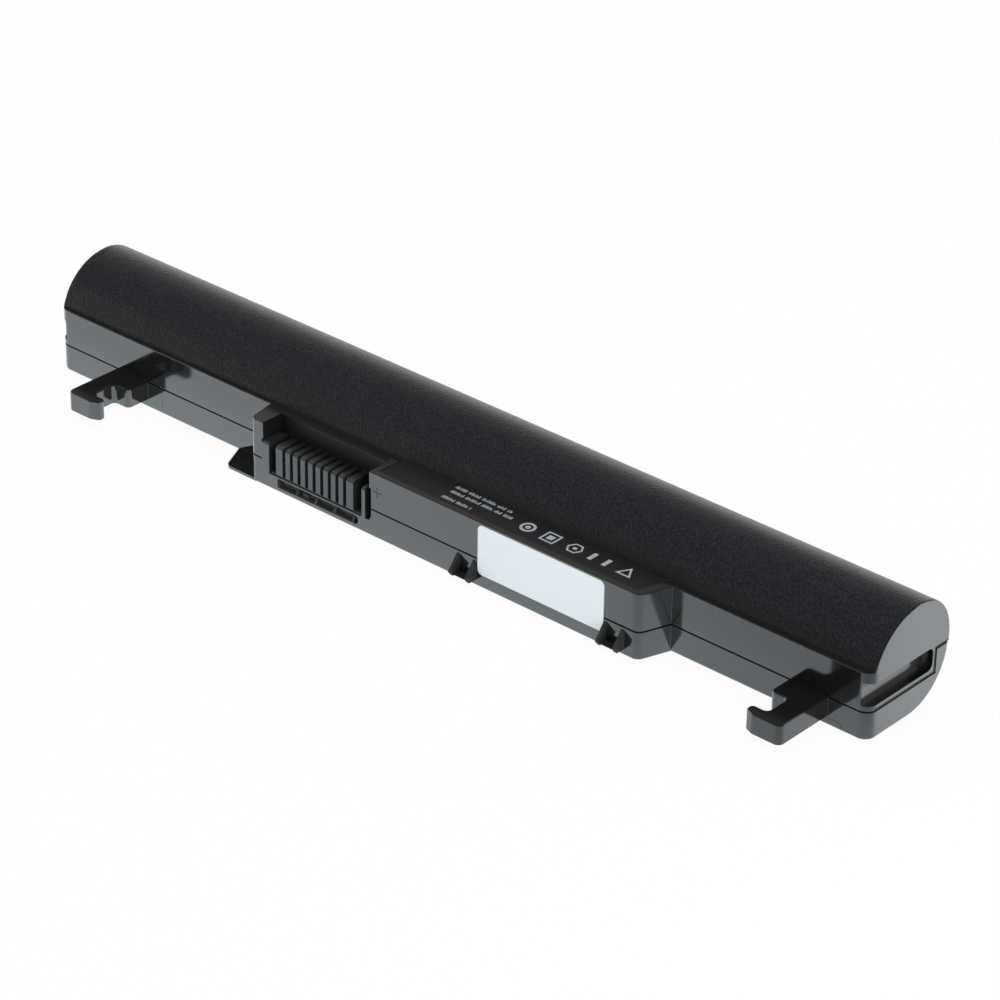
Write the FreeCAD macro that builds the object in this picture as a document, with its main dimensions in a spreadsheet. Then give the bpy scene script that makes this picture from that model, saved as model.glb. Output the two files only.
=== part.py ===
"""Three-cell laptop battery, in millimetres.

X runs along the pack, the latch hooks point to -Y and +Z is up. The origin lies at mid length,
on the plane of the glossy front wall, at the flat underside. The case is an upper and a lower
shell that meet at a seam; a housing for the circuit board stands out in front of the barrel.
"""
import FreeCAD, Part
import math
import os
import Sketcher

SIZES = (
    ("barrel_margin", 0.85, "round part of the barrel behind the front wall"),
    ("roof_rise", 0.55, "top of the barrel above a full circle"),
    ("roof_tighten", 1.29, "back quarter of the roof, less than the barrel's radius"),
    ("roof_foot", 1.2, "front foot of the barrel on the ledge, behind the front wall"),
    ("roof_overlap", 3.0, "how low the roof block starts inside the case"),
    ("ledge_rise", 2.75, "ledge and housing top above the cell axis"),
    ("seam_height", 6.0, "seam along the front and the ends"),
    ("seam_inset", 3.85, "where the seam climbs, in front of the barrel's back"),
    ("seam_gap", 0.35, "height of the open line at the seam"),
    ("seam_depth", 0.4, "depth of the open line at the seam"),
    ("wall", 1.4, "case wall"),
    ("corner_radius", 2.3, "upright corners of the case"),
    ("foot_radius", 0.7, "lower edges of the lower shell"),
    ("rim_radius", 0.25, "end edges of the barrel"),
    ("groove_low", 7.0, "lower side of the guide groove in each end"),
    ("groove_high", 11.55, "upper side of the guide groove"),
    ("groove_margin", 0.8, "closed end of the guide groove in front of the seam's climb"),
    ("groove_depth", 1.8, "depth of the guide groove"),
    ("groove_blend", 1.3, "soft inner edges of the guide groove"),
    ("groove_skin", 1.1, "wall behind the guide groove"),
    ("housing_reach", 6.5, "housing in front of the front wall"),
    ("housing_left", -42.4, "left foot of the housing"),
    ("housing_right", 57.9, "right foot of the housing"),
    ("housing_left_slant", 1.2, "how far the left end leans in"),
    ("housing_right_slant", 2.3, "how far the right end leans in"),
    ("housing_corner", 1.8, "right front corner of the housing"),
    ("post_corner", 1.2, "left front corner of the housing"),
    ("panel_inset", 1.25, "border round the sunk panel on the housing top"),
    ("panel_depth", 0.15, "how far that panel is sunk"),
    ("panel_right", 54.3, "right end of the sunk panel"),
    ("bay_left", -38.0, "left side of the connector bay"),
    ("bay_right", -10.1, "right side of the connector bay"),
    ("bay_depth", 5.2, "connector bay, front to back"),
    ("keyway", 0.45, "how far the bay is cut into its right side low down"),
    ("keyway_height", 10.2, "top of that cut"),
    ("keyway_corner", 1.3, "lower right corner of that cut"),
    ("lip_height", 3.2, "lower shell in front of the connector"),
    ("lip_wall", 0.65, "thickness of that lip"),
    ("cheek_width", 1.9, "upright left of the connector"),
    ("cheek_height", 10.0, "top of that upright"),
    ("guide_width", 0.85, "thin upright right of the connector"),
    ("guide_height", 9.6, "top of the thin upright"),
    ("guide_depth", 1.7, "thin upright, front to back"),
    ("guide_gap", 1.6, "space from the thin upright to the bay's right side"),
    ("slot_left", -34.3, "left end of the low slot under the connector"),
    ("slot_right", -13.0, "right end of the low slot"),
    ("slot_low", 1.0, "floor of the low slot"),
    ("slot_high", 2.9, "top of the low slot"),
    ("slot_depth", 1.2, "low slot, front to back"),
    ("slot_rib", 0.5, "thickness of the ribs in the low slot"),
    ("slot_left_round", 0.4, "left corners of the low slot"),
    ("slot_right_round", 0.9, "right corners of the low slot"),
    ("pin_count", 9, "contact blades"),
    ("pin_pitch", 2.0, "spacing of the blades"),
    ("pin_slot", 0.84, "slot between two fins"),
    ("comb_centre", -24.8, "middle blade"),
    ("comb_left", -34.95, "left side of the first fin"),
    ("comb_right", -14.6, "right side of the last fin"),
    ("comb_back", 1.0, "back of the connector, behind the front wall"),
    ("comb_top", 9.65, "top of the comb"),
    ("comb_setback", 0.3, "fin fronts behind the front of the housing"),
    ("comb_nose", 0.7, "rounded front edge of each fin"),
    ("comb_base", 0.3, "floor under the fins"),
    ("comb_clearance", 0.1, "comb and board to the case beside them"),
    ("blade_thickness", 0.3, "contact blade"),
    ("blade_setback", 2.0, "blade behind the fin fronts"),
    ("blade_root", 1.0, "soldered leg of a blade"),
    ("blade_height", 3.8, "blade above the comb floor"),
    ("hook_left_inset", 16.7, "left hook's outer side from the left end"),
    ("hook_right_inset", 8.7, "right hook's outer side from the right end"),
    ("hook_base_width", 8.6, "hook at the front wall"),
    ("hook_base_depth", 5.4, "wide base in front of the front wall"),
    ("hook_arm_width", 4.7, "arm of the hook"),
    ("hook_reach", 13.5, "tip of the hook in front of the front wall"),
    ("hook_finger_width", 2.5, "finger of the hook"),
    ("hook_finger_length", 8.1, "finger from the arm's outer side"),
    ("hook_low", 2.0, "underside of the hooks"),
    ("hook_outer_radius", 1.2, "outer corners of the hook"),
    ("hook_lead_length", 1.9, "slanted lead of the finger, along the finger"),
    ("hook_lead_depth", 0.85, "how far that lead falls back"),
    ("hook_lead_radius", 1.6, "where the lead meets the front of the hook"),
    ("hook_edge", 0.3, "upper outer edges of the hook"),
    ("hook_tip_radius", 0.75, "end of the finger"),
    ("hook_inner_radius", 1.0, "inner corners of the hook"),
    ("tab_left", -51.2, "left end of the thin tab"),
    ("tab_thickness", 0.6, "thin tab at the underside"),
    ("tab_slant", 3.0, "how far the tab's left side leans in"),
    ("tab_corner", 1.6, "rounded corner of the tab"),
    ("catch_first", 14.5, "middle of the left catch"),
    ("catch_second", 50.1, "middle of the right catch"),
    ("catch_span", 4.0, "between the two gussets of a catch"),
    ("gusset_width", 0.7, "thickness of a gusset"),
    ("gusset_top", 5.3, "where a gusset meets the housing"),
    ("gusset_reach", 2.5, "nose of a gusset in front of the housing"),
    ("gusset_nose", 2.1, "height of that nose"),
    ("gusset_low", 1.2, "underside of a gusset"),
    ("catch_floor", 0.4, "plate between two gussets"),
    ("catch_inset", 0.5, "plate behind the nose of the gussets"),
    ("catch_undercut", 0.6, "how far the plate's underside stays behind its front"),
    ("plus_x", -8.0, "moulded plus sign, along the housing"),
    ("plus_z", 10.0, "moulded plus sign, above the underside"),
    ("plus_size", 2.1, "arms of the plus sign"),
    ("plus_line", 0.35, "stroke of the plus sign"),
    ("plus_depth", 0.12, "depth of the plus sign"),
    ("label_left", 17.3, "left side of the blank label"),
    ("label_width", 30.3, "blank label along X"),
    ("label_low", 2.8, "lower side of the blank label"),
    ("label_margin", 0.5, "blank label below the housing top"),
    ("label_corner", 1.1, "corners of the label"),
    ("label_thickness", 0.12, "label"),
    ("cell_radius", 9.15, "round cell in its sleeve"),
    ("cell_length", 64.0, "can of a cell"),
    ("end_space", 3.6, "last cell to the end of the case, wall included"),
    ("cell_button_radius", 3.0, "positive button"),
    ("cell_button_height", 1.0, "positive button"),
    ("cell_edge", 0.8, "rounded ends of the can"),
    ("crimp_setback", 3.0, "crimp groove behind the positive end"),
    ("crimp_width", 1.2, "crimp groove"),
    ("crimp_depth", 0.5, "crimp groove"),
    ("ring_thickness", 0.3, "insulator ring on the positive end"),
    ("ring_margin", 1.2, "ring inside the can's edge"),
    ("link_gap", 0.9, "space between two cells"),
    ("strip_thickness", 0.15, "nickel strip"),
    ("strip_width", 6.0, "nickel strip"),
    ("strip_rise", 3.05, "top of the nickel strips above the cell axis"),
    ("tail_width", 1.5, "soldered end of a strip"),
    ("tail_offset", 4.1, "soldered ends behind the front wall"),
    ("pad_thickness", 0.4, "adhesive strip between cell and case wall"),
    ("pad_length", 40.0, "adhesive strip under a cell"),
    ("pad_width", 3.0, "adhesive strip under a cell"),
    ("board_left", -36.2, "left end of the circuit board"),
    ("board_right", 53.2, "right end of the circuit board"),
    ("board_front", 4.6, "front edge of the board, in front of the front wall"),
    ("board_back", 5.2, "back edge of the board, behind the front wall"),
    ("board_low", 1.8, "underside of the board"),
    ("board_thickness", 0.8, "circuit board"),
    ("rest_width", 1.5, "ribs that carry the board"),
    ("sheet_thickness", 0.2, "insulating sheet on the cells"),
    ("sheet_length", 56.0, "insulating sheet along X"),
    ("lead_diameter", 1.4, "insulated lead"),
    ("lead_offset", 2.2, "leads behind the front wall"),
    ("lead_overlap", 2.6, "leads on the board"),
    ("part_gap", 0.3, "clearance round what is only laid in"),
    ("edge_radius", 0.2, "upper edges of front wall and housing"),
    ("housing_foot", 0.4, "lower edges of the housing"),
    ("panel_back", 0.9, "sunk panel behind the front wall"),
    ("panel_slant", 1.6, "how far the panel's right end leans out"),
    ("panel_corner", 0.8, "front corners of the sunk panel"),
    ("bay_step", 0.4, "how far the bay is cut into its left side low down"),
    ("bay_wall", 1.2, "wall behind the bay"),
    ("bay_rim", 0.25, "broken upper edge of that wall"),
    ("slot_wall", 0.6, "wall behind the low slot"),
    ("slot_rib_pitch", 4.94, "spacing of the ribs in the low slot"),
    ("cheek_round", 1.0, "front top of the wide upright"),
    ("guide_round", 0.7, "front top of the thin upright"),
    ("rest_inset", 8.0, "ribs under the board from its ends"),
    ("tab_setback", 0.1, "tab behind the housing front"),
    ("blade_round", 0.5, "front top of a blade"),
    ("strip_drop", 3.1, "lower edge of the strips below the cell axis"),
    ("board_corner", 0.8, "corners of the circuit board"),
    ("chip_line", 0.7, "middle line of the chips, in front of the front wall"),
    ("chip_lift", 0.1, "chips with legs above the board"),
    ("gauge_left", 2.0, "fuel gauge chip, from the middle of the pack"),
    ("gauge_length", 6.4, "fuel gauge chip along X"),
    ("gauge_width", 4.4, "fuel gauge chip along Y"),
    ("gauge_height", 1.0, "fuel gauge chip"),
    ("guard_left", 12.5, "protection chip, from the middle of the pack"),
    ("guard_length", 3.0, "protection chip along X"),
    ("guard_width", 2.6, "protection chip along Y"),
    ("guard_height", 0.9, "protection chip"),
    ("switch_left", 19.5, "first power transistor, from the middle of the pack"),
    ("switch_pitch", 8.0, "spacing of the two power transistors"),
    ("switch_length", 5.0, "power transistor along X"),
    ("switch_width", 3.9, "power transistor along Y"),
    ("switch_height", 1.2, "power transistor"),
    ("fuse_left", 36.0, "chemical fuse, from the middle of the pack"),
    ("fuse_length", 4.0, "chemical fuse along X"),
    ("fuse_width", 3.0, "chemical fuse along Y"),
    ("fuse_height", 0.9, "chemical fuse"),
    ("shunt_left", 43.5, "sense resistor, from the middle of the pack"),
    ("shunt_length", 6.4, "sense resistor along X"),
    ("shunt_width", 3.2, "sense resistor along Y"),
    ("shunt_height", 0.6, "sense resistor"),
    ("small_length", 1.6, "small chip along X"),
    ("small_width", 0.8, "small chip along Y"),
    ("small_back", 2.6, "back row of small chips, behind the front wall"),
    ("small_front", 3.7, "front row of small chips, in front of the front wall"),
    ("small_step", 3.0, "spacing of neighbouring small chips"),
    ("capacitor_height", 0.8, "small capacitor"),
    ("resistor_height", 0.45, "small resistor"),
    ("leg_width", 0.3, "chip legs"),
    ("leg_reach", 0.8, "chip legs past the chip"),
    ("leg_thickness", 0.15, "chip legs"),
    ("sheet_edge", 3.2, "lower edge of the sheet from the cell axis"),
    ("sheet_drop", 1.6, "upper edge of the sheet below the cell axis"),
    ("bead_radius", 0.8, "temperature sensor"),
    ("bead_leg", 0.2, "wires of the temperature sensor"),
    ("bead_forward", 0.819, "sensor's direction from the cell axis, forward part"),
    ("bead_x", 10.0, "temperature sensor along the pack"),
)


class Length:
    """A size as a number, with the formula over the sheet that gives it."""

    def __init__(self, value, formula):
        self.value = value
        self.formula = formula

    def joined(self, other, sign, result):
        return Length(result, "(%s %s %s)" % (self.formula, sign, length(other).formula))

    def __add__(self, other):
        return self.joined(other, "+", self.value + length(other).value)

    def __sub__(self, other):
        return self.joined(other, "-", self.value - length(other).value)

    def __mul__(self, other):
        return self.joined(other, "*", self.value * length(other).value)

    def __truediv__(self, other):
        return self.joined(other, "/", self.value / length(other).value)

    def __neg__(self):
        return Length(-self.value, "(0 - %s)" % self.formula)


def length(number):
    """Take a plain number as a length."""
    if isinstance(number, Length):
        return number
    return Length(float(number), "(%.6f)" % number)


def root(square):
    """Square root of a length product."""
    return Length(math.sqrt(square.value), "sqrt(%s)" % square.formula)


doc = FreeCAD.newDocument("laptop_battery")
sheet = doc.addObject("Spreadsheet::Sheet", "Sizes")
for row, (alias, number, meaning) in enumerate(SIZES, start=1):
    sheet.set("A%d" % row, meaning)
    sheet.set("B%d" % row, str(number))
    sheet.setAlias("B%d" % row, alias)
doc.recompute()
S = {alias: Length(number, "Sizes." + alias) for alias, number, meaning in SIZES}
NODES = []


def bind(item, prop, size):
    """Tie one property to its formula."""
    item.setExpression(prop, length(size).formula)


def place(item, x=0, y=0, z=0):
    """Tie an object's position."""
    bind(item, "Placement.Base.x", x)
    bind(item, "Placement.Base.y", y)
    bind(item, "Placement.Base.z", z)


def node(item, label):
    """Keep an object as a sub-part of the battery."""
    item.Label = label
    NODES.append(item)
    return item


def block(name, x, y, z):
    """A box between two limits on each axis."""
    box = doc.addObject("Part::Box", name)
    for prop, (low, high) in (("Length", x), ("Width", y), ("Height", z)):
        bind(box, prop, length(high) - low)
    place(box, x[0], y[0], z[0])
    return box


def rod(name, radius, along, start, end, across):
    """A cylinder along X, Y or Z; across gives its other two coordinates in order."""
    cylinder = doc.addObject("Part::Cylinder", name)
    bind(cylinder, "Radius", radius)
    bind(cylinder, "Height", length(end) - start)
    spot = list(across)
    spot.insert("XYZ".index(along), start)
    if along == "X":
        cylinder.Placement.Rotation = FreeCAD.Rotation(FreeCAD.Vector(0, 1, 0), 90)
    if along == "Y":
        cylinder.Placement.Rotation = FreeCAD.Rotation(FreeCAD.Vector(1, 0, 0), -90)
    place(cylinder, *spot)
    return cylinder


def join(name, *pieces):
    """Several solids as one."""
    fused = doc.addObject("Part::MultiFuse", name)
    fused.Shapes = list(pieces)
    fused.Refine = True
    return fused


def cut(name, base, *tools):
    """A solid with others taken out of it."""
    tool = tools[0]
    if len(tools) > 1:
        tool = doc.addObject("Part::MultiFuse", name + "_tools")
        tool.Shapes = list(tools)
    left = doc.addObject("Part::Cut", name)
    left.Base = base
    left.Tool = tool
    left.Refine = True
    return left


def overlap(name, first, second):
    """What two solids share."""
    common = doc.addObject("Part::Common", name)
    common.Base = first
    common.Tool = second
    common.Refine = True
    return common


def group(name, pieces):
    """Loose solids of one kind, kept together."""
    compound = doc.addObject("Part::Compound", name)
    compound.Links = list(pieces)
    return compound


def mirrored(name, source, at):
    """The same solid across a plane square to X."""
    mirror = doc.addObject("Part::Mirroring", name)
    mirror.Source = source
    mirror.Normal = FreeCAD.Vector(1, 0, 0)
    bind(mirror, "Base.x", at)
    return mirror


def new_sketch(body, role, offset):
    """A sketch on one of the body's own planes, moved along its normal."""
    sketch = body.newObject("Sketcher::SketchObject", body.Name + "_outline")
    plane = next(item for item in body.Origin.OriginFeatures if item.Role == role)
    sketch.AttachmentSupport = (plane, [""])
    sketch.MapMode = "FlatFace"
    bind(sketch, "AttachmentOffset.Base.z", offset)
    return sketch


def pin_value(sketch, kind, geometry, end, size):
    """Add one measured constraint and tie it to its formula."""
    size = length(size)
    if kind == "Radius":
        index = sketch.addConstraint(Sketcher.Constraint(kind, geometry, size.value))
    else:
        index = sketch.addConstraint(Sketcher.Constraint(kind, -1, 1, geometry, end, size.value))
    sketch.setExpression("Constraints[%d]" % index, size.formula)


def pin_point(sketch, geometry, end, across, up):
    """Fix one end of a sketch line by its two coordinates."""
    pin_value(sketch, "DistanceX", geometry, end, across)
    pin_value(sketch, "DistanceY", geometry, end, up)


def closed_lines(sketch, points):
    """A polygon whose every corner is fixed."""
    spots = [FreeCAD.Vector(length(a).value, length(b).value, 0) for a, b in points]
    count = len(points)
    for i in range(count):
        sketch.addGeometry(Part.LineSegment(spots[i], spots[(i + 1) % count]), False)
    for i in range(count):
        sketch.addConstraint(Sketcher.Constraint("Coincident", i, 2, (i + 1) % count, 1))
    for i, (across, up) in enumerate(points):
        pin_point(sketch, i, 1, across, up)


def near(first, second):
    """Whether two numbers are the same place."""
    return abs(length(first).value - length(second).value) < 0.01


def edge_names(shape, test):
    """Names of the edges whose middle point and corner points pass the test."""
    names = []
    for number, edge in enumerate(shape.Edges, start=1):
        middle = edge.valueAt((edge.FirstParameter + edge.LastParameter) / 2)
        ends = [vertex.Point for vertex in edge.Vertexes]
        if test(middle, ends):
            names.append("Edge%d" % number)
    return names


def round_edges(body, radius, test):
    """Fillet the edges of a body that pass the test."""
    doc.recompute()
    tip = body.Tip
    names = edge_names(tip.Shape, test)
    fillet = body.newObject("PartDesign::Fillet", body.Name + "_round")
    fillet.Base = (tip, names)
    bind(fillet, "Radius", radius)
    body.Tip = fillet
    return fillet


def along_at(axis, spots):
    """A test for straight edges along one axis at given places on the other two."""
    others = [letter for letter in "xyz" if letter != axis]

    def test(middle, ends):
        if len(ends) != 2:
            return False
        square = all(near(getattr(ends[0], c), getattr(ends[1], c)) for c in others)
        here = [getattr(middle, c) for c in others]
        return square and any(near(here[0], a) and near(here[1], b) for a, b in spots)
    return test


def level_edges(height):
    """A test for edges that lie level at one height."""
    def test(middle, ends):
        return near(middle.z, height) and all(near(point.z, height) for point in ends)
    return test


def prism(name, role, points, start, thickness):
    """A padded polygon on one of the three base planes."""
    body = doc.addObject("PartDesign::Body", name)
    sketch = new_sketch(body, role, start)
    closed_lines(sketch, points)
    pad = body.newObject("PartDesign::Pad", name + "_pad")
    pad.Profile = sketch
    bind(pad, "Length", thickness)
    body.Tip = pad
    return body


def turned(name, points, x, y, z):
    """A polygon of distance along X and radius, turned about its own X axis."""
    body = doc.addObject("PartDesign::Body", name)
    sketch = new_sketch(body, "XY_Plane", 0)
    closed_lines(sketch, points)
    turn = body.newObject("PartDesign::Revolution", name + "_turn")
    turn.Profile = sketch
    turn.ReferenceAxis = (sketch, ["H_Axis"])
    turn.Angle = 360
    body.Tip = turn
    place(body, x, y, z)
    return body


cell_total = S["cell_length"] + S["cell_button_height"]
first_cell = -(cell_total * 1.5 + S["link_gap"])
half_length = S["end_space"] - first_cell
case_length = half_length * 2
barrel_radius = S["cell_radius"] + S["pad_thickness"] + S["wall"]
axis_y = barrel_radius + S["barrel_margin"]
axis_z = barrel_radius
barrel_back = axis_y + barrel_radius
roof_height = barrel_radius * 2 + S["roof_rise"]
roof_radius = barrel_radius - S["roof_tighten"]
ledge_height = axis_z + S["ledge_rise"]
seam_step = barrel_back - S["seam_inset"]
groove_end = seam_step - S["groove_margin"]
front = -S["housing_reach"]
bay_back = front + S["bay_depth"]
bay_floor_right = S["bay_right"] + S["keyway"]
cheek_left = S["bay_left"] - S["bay_step"]
cheek_right = cheek_left + S["cheek_width"]
guide_right = bay_floor_right - S["guide_gap"]
guide_left = guide_right - S["guide_width"]
board_top = S["board_low"] + S["board_thickness"]
low = length(-5)
high = roof_height + 5
far_front = front - S["hook_reach"]
far_back = barrel_back + 5


def round_profile(name, inset, chain):
    """A body along X whose outline is straight lines closed by an arc about the barrel axis.

    The chain runs from the end of the arc to its start.
    """
    body = doc.addObject("PartDesign::Body", name)
    sketch = new_sketch(body, "YZ_Plane", 0)
    last = len(chain) - 2
    spots = [FreeCAD.Vector(length(a).value, length(b).value, 0) for a, b in chain]
    for i in range(last + 1):
        sketch.addGeometry(Part.LineSegment(spots[i], spots[i + 1]), False)
    centre = FreeCAD.Vector(axis_y.value, axis_z.value, 0)
    radius = barrel_radius - inset
    circle = Part.Circle(centre, FreeCAD.Vector(0, 0, 1), radius.value)
    turns = [math.atan2(spot.y - centre.y, spot.x - centre.x) for spot in (spots[-1], spots[0])]
    arc = sketch.addGeometry(Part.ArcOfCircle(circle, turns[0], turns[1]), False)
    for i in range(last):
        sketch.addConstraint(Sketcher.Constraint("Coincident", i, 2, i + 1, 1))
    sketch.addConstraint(Sketcher.Constraint("Coincident", last, 2, arc, 1))
    sketch.addConstraint(Sketcher.Constraint("Coincident", arc, 2, 0, 1))
    for i in range(1, last + 1):
        pin_point(sketch, i, 1, *chain[i])
    pin_point(sketch, last, 2, *chain[-1])
    pin_point(sketch, arc, 3, axis_y, axis_z)
    pin_value(sketch, "DistanceY", 0, 1, chain[0][1])
    pad = body.newObject("PartDesign::Pad", name + "_pad")
    pad.Profile = sketch
    pad.SideType = "Symmetric"
    bind(pad, "Length", case_length - length(inset) * 2)
    body.Tip = pad
    return body


def tub(name, inset, foot=None, square=False):
    """The lower part of the case, with upright walls above the barrel axis."""
    back = barrel_back - inset
    top = ledge_height - inset
    body = round_profile(
        name, inset,
        ((back, axis_z), (back, top), (inset, top), (inset, inset), (axis_y, inset)))
    end_x = half_length - inset
    if not square:
        corners = along_at("z", [(end_x, inset), (-end_x, inset)])
        round_edges(body, S["corner_radius"] - inset, corners)
    if foot:
        def foot_edges(middle, ends):
            return near(middle.z, 0) and middle.y < (axis_y - 1).value

        round_edges(body, foot, foot_edges)
    return body


def roof(name, inset):
    """The rounded upper part of the barrel: two quarter arcs over upright sides."""
    body = doc.addObject("PartDesign::Body", name)
    sketch = new_sketch(body, "YZ_Plane", 0)
    top = roof_height
    back = barrel_back
    crown = back - roof_radius
    run = crown - S["roof_foot"]
    rise = top - ledge_height
    front_radius = (run * run + rise * rise) / (rise * 2)
    bottom = S["roof_overlap"] + inset
    corners = (
        (crown - front_radius + inset, top - front_radius),
        (crown - front_radius + inset, bottom),
        (back - inset, bottom),
        (back - inset, top - roof_radius),
    )
    spots = [FreeCAD.Vector(a.value, b.value, 0) for a, b in corners]
    for i in range(3):
        sketch.addGeometry(Part.LineSegment(spots[i], spots[i + 1]), False)
    quarter = math.pi / 2
    arcs = ((roof_radius, 0, quarter), (front_radius, quarter, math.pi))
    for size, begin, end in arcs:
        centre = FreeCAD.Vector(crown.value, (top - size).value, 0)
        circle = Part.Circle(centre, FreeCAD.Vector(0, 0, 1), (size - inset).value)
        sketch.addGeometry(Part.ArcOfCircle(circle, begin, end), False)
    for first, end, second, start in (
            (0, 2, 1, 1), (1, 2, 2, 1), (2, 2, 3, 1), (3, 2, 4, 1), (4, 2, 0, 1)):
        sketch.addConstraint(Sketcher.Constraint("Coincident", first, end, second, start))
    for i in range(3):
        pin_point(sketch, i, 1, *corners[i])
    pin_point(sketch, 2, 2, *corners[3])
    pin_point(sketch, 3, 3, crown, top - roof_radius)
    pin_value(sketch, "DistanceX", 3, 2, crown)
    pin_value(sketch, "DistanceX", 4, 3, crown)
    pad = body.newObject("PartDesign::Pad", name + "_pad")
    pad.Profile = sketch
    pad.SideType = "Symmetric"
    bind(pad, "Length", case_length - length(inset) * 2)
    body.Tip = pad
    if not inset:
        def rims(middle, ends):
            return near(abs(middle.x), half_length) and middle.z > bottom.value + 1

        round_edges(body, S["rim_radius"], rims)
    return body


def ledge_block():
    """The square front of the upper shell in front of the barrel."""
    body = prism(
        "upper_front", "YZ_Plane",
        ((0, S["foot_radius"]), (axis_y, S["foot_radius"]), (axis_y, ledge_height),
         (0, ledge_height)),
        -half_length, case_length)
    round_edges(body, S["edge_radius"], along_at("x", [(0, ledge_height)]))
    return body


def case_corner():
    """What has to go at the right front corner of the upper shell to leave it round."""
    corner = half_length - S["corner_radius"]
    square = block(
        "corner_square", (corner, half_length + 5), (far_front, S["corner_radius"]),
        (low, ledge_height))
    post = rod(
        "corner_post", S["corner_radius"], "Z", low - 1, ledge_height + 1,
        (corner, S["corner_radius"]))
    return cut("corner_cut", square, post)


def housing_block(name, inset, top=None, foot=None):
    """The board housing in front of the barrel, shrunk on its outer sides by inset."""
    inner = S["wall"] / 2
    left_lean = S["housing_left_slant"] / S["housing_reach"]
    right_lean = S["housing_right_slant"] / S["housing_reach"]
    points = (
        (S["housing_left"] - left_lean * inner + inset, inner),
        (S["housing_left"] + S["housing_left_slant"] + inset, front + inset),
        (S["housing_right"] - S["housing_right_slant"] - inset, front + inset),
        (S["housing_right"] + right_lean * inner - inset, inner),
    )
    body = prism(name, "XY_Plane", points, inset, ledge_height - length(inset) * 2)
    round_edges(body, S["housing_corner"] - inset, along_at("z", [points[2]]))
    if not length(inset).value:
        round_edges(body, S["post_corner"], along_at("z", [points[1]]))
    for radius, height in ((top, ledge_height), (foot, 0)):
        if radius:
            level = level_edges(height)

            def outer_level(middle, ends, level=level):
                return level(middle, ends) and min(p.y for p in ends) < 0

            round_edges(body, radius, outer_level)
    return body


def lower_region(name, drop):
    """Everything under the seam, which climbs at the back; drop lowers the whole line."""
    wide = half_length + 5
    front_part = block(
        name + "_front", (-wide, wide), (far_front, far_back), (low, S["seam_height"] - drop))
    back_part = block(
        name + "_back", (-wide, wide), (seam_step + drop, far_back),
        (low, axis_z - drop))
    return join(name, front_part, back_part)


def groove_cutter(name, margin, blend):
    """The guide groove in the right end, made larger all round by margin."""
    floor_x = half_length - S["groove_depth"] - margin
    points = (
        (far_front, S["groove_low"] - margin),
        (groove_end + margin, S["groove_low"] - margin),
        (groove_end + margin, S["groove_high"] + margin),
        (far_front, S["groove_high"] + margin),
    )
    body = prism(name, "YZ_Plane", points, floor_x, S["groove_depth"] * 3)
    if blend:
        round_edges(body, blend, along_at("x", points[1:3]))

        def floor_edges(middle, ends):
            return near(middle.x, floor_x) and middle.y > far_front.value + 1

        round_edges(body, blend * 0.9, floor_edges)
    return body


def cavity():
    """The space inside the case: barrel, housing and the way under the connector."""
    wall = S["wall"]
    housing_start = bay_floor_right + wall
    deep = wall * 2
    ceiling = ledge_height - wall
    pieces = (
        tub("space_tub", wall, square=True),
        roof("space_roof", wall),
        block("space_housing",
              (housing_start, S["housing_right"] - S["housing_right_slant"] - wall),
              (front + wall, deep), (wall, ceiling)),
        block("space_behind_bay", (cheek_right, housing_start + 1),
              (bay_back + S["bay_wall"], deep), (wall, ceiling)),
        block("space_under_comb", (cheek_right, guide_left),
              (front + S["slot_depth"] + S["slot_wall"], deep), (wall, S["lip_height"])),
        block("space_under_gap", (cheek_right, housing_start + 1),
              (front + S["slot_depth"] + S["slot_wall"], deep),
              (wall, board_top + S["comb_clearance"])),
        block("space_comb", (cheek_right, guide_left), (front + S["lip_wall"], deep),
              (S["lip_height"], S["comb_top"] + S["comb_clearance"])),
    )
    whole = join("space_whole", *pieces)
    right = groove_cutter("groove_skin_right", S["groove_skin"], None)
    left = mirrored("groove_skin_left", right, 0)
    return cut("space", whole, right, left)


def bay():
    """The open bay of the connector, with its cut into the right side low down."""
    upper = block(
        "bay_upper", (S["bay_left"], S["bay_right"]), (far_front, bay_back),
        (S["lip_height"], high))
    points = (
        (cheek_left, S["lip_height"]), (bay_floor_right, S["lip_height"]),
        (bay_floor_right, S["keyway_height"]), (cheek_left, S["keyway_height"]))
    lower = prism(
        "bay_lower", "XZ_Plane", points, S["housing_reach"] - S["bay_depth"],
        S["bay_depth"] * 2)
    round_edges(lower, S["keyway_corner"], along_at("y", [points[1]]))
    rim = bay_back + S["bay_rim"]
    rim_points = (
        (bay_back, ledge_height - S["bay_rim"]), (rim, ledge_height), (rim, high),
        (bay_back, high))
    rim_cut = prism(
        "bay_rim", "YZ_Plane", rim_points, S["bay_left"], S["bay_right"] - S["bay_left"])
    return join("bay", upper, lower, rim_cut)


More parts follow.
